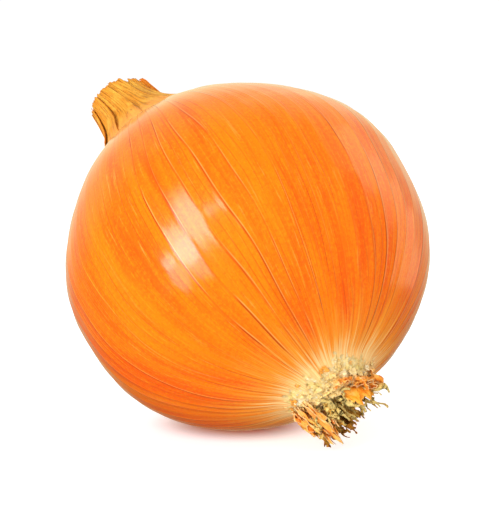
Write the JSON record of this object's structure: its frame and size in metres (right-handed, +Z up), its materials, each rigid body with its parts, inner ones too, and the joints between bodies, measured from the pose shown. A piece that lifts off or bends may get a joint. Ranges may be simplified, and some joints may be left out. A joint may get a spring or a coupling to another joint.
{
  "type": "onion",
  "caption": "Whole dry yellow onion lying on its side: a round bulb in glossy papery skin, a short neck of dry leaves, a tuft of dried roots and torn skin round the root plate.",
  "frame": {"origin": "centre of the small flat spot that the onion rests on", "axes": "+Z up; the bulb's own axis lies in the XZ plane, with the root end towards +X and about 43 degrees below level, and the neck towards -X and up"},
  "size_m": [0.0825, 0.0782, 0.0749],
  "materials": {
    "skin": "waxy, semi-gloss dry onion skin, orange with fine lengthwise veins, pale towards the roots",
    "neck_leaf": "dry, matt, golden brown, fine lengthwise fibres",
    "root": "dry, matt, olive brown to straw, crumpled",
    "torn_skin": "thin dry skin, satin, orange to tan, torn edges"
  },
  "bodies": {
    "root": {"bulb": "skin", "neck_leaf_1": "neck_leaf", "neck_leaf_2": "neck_leaf", "neck_leaf_3": "neck_leaf", "neck_leaf_4": "neck_leaf", "neck_leaf_5": "neck_leaf", "neck_leaf_6": "neck_leaf", "neck_leaf_7": "neck_leaf", "neck_leaf_8": "neck_leaf", "neck_leaf_9": "neck_leaf", "neck_leaf_10": "neck_leaf", "neck_leaf_11": "neck_leaf", "neck_leaf_12": "neck_leaf", "root_1": "root", "root_2": "root", "root_3": "root", "root_4": "root", "root_5": "root", "root_6": "root", "root_7": "root", "root_8": "root", "root_9": "root", "root_10": "root", "root_11": "root", "root_12": "root", "root_13": "root", "root_14": "root", "root_15": "root", "root_16": "root", "root_17": "root", "root_18": "root", "skin_flake_1": "torn_skin", "skin_flake_2": "torn_skin", "skin_flake_3": "torn_skin", "skin_flake_4": "torn_skin", "skin_flake_5": "torn_skin", "skin_flake_6": "torn_skin", "skin_flake_7": "torn_skin", "skin_flake_8": "torn_skin", "skin_flake_9": "torn_skin", "skin_flake_10": "torn_skin"}
  },
  "joints": []
}
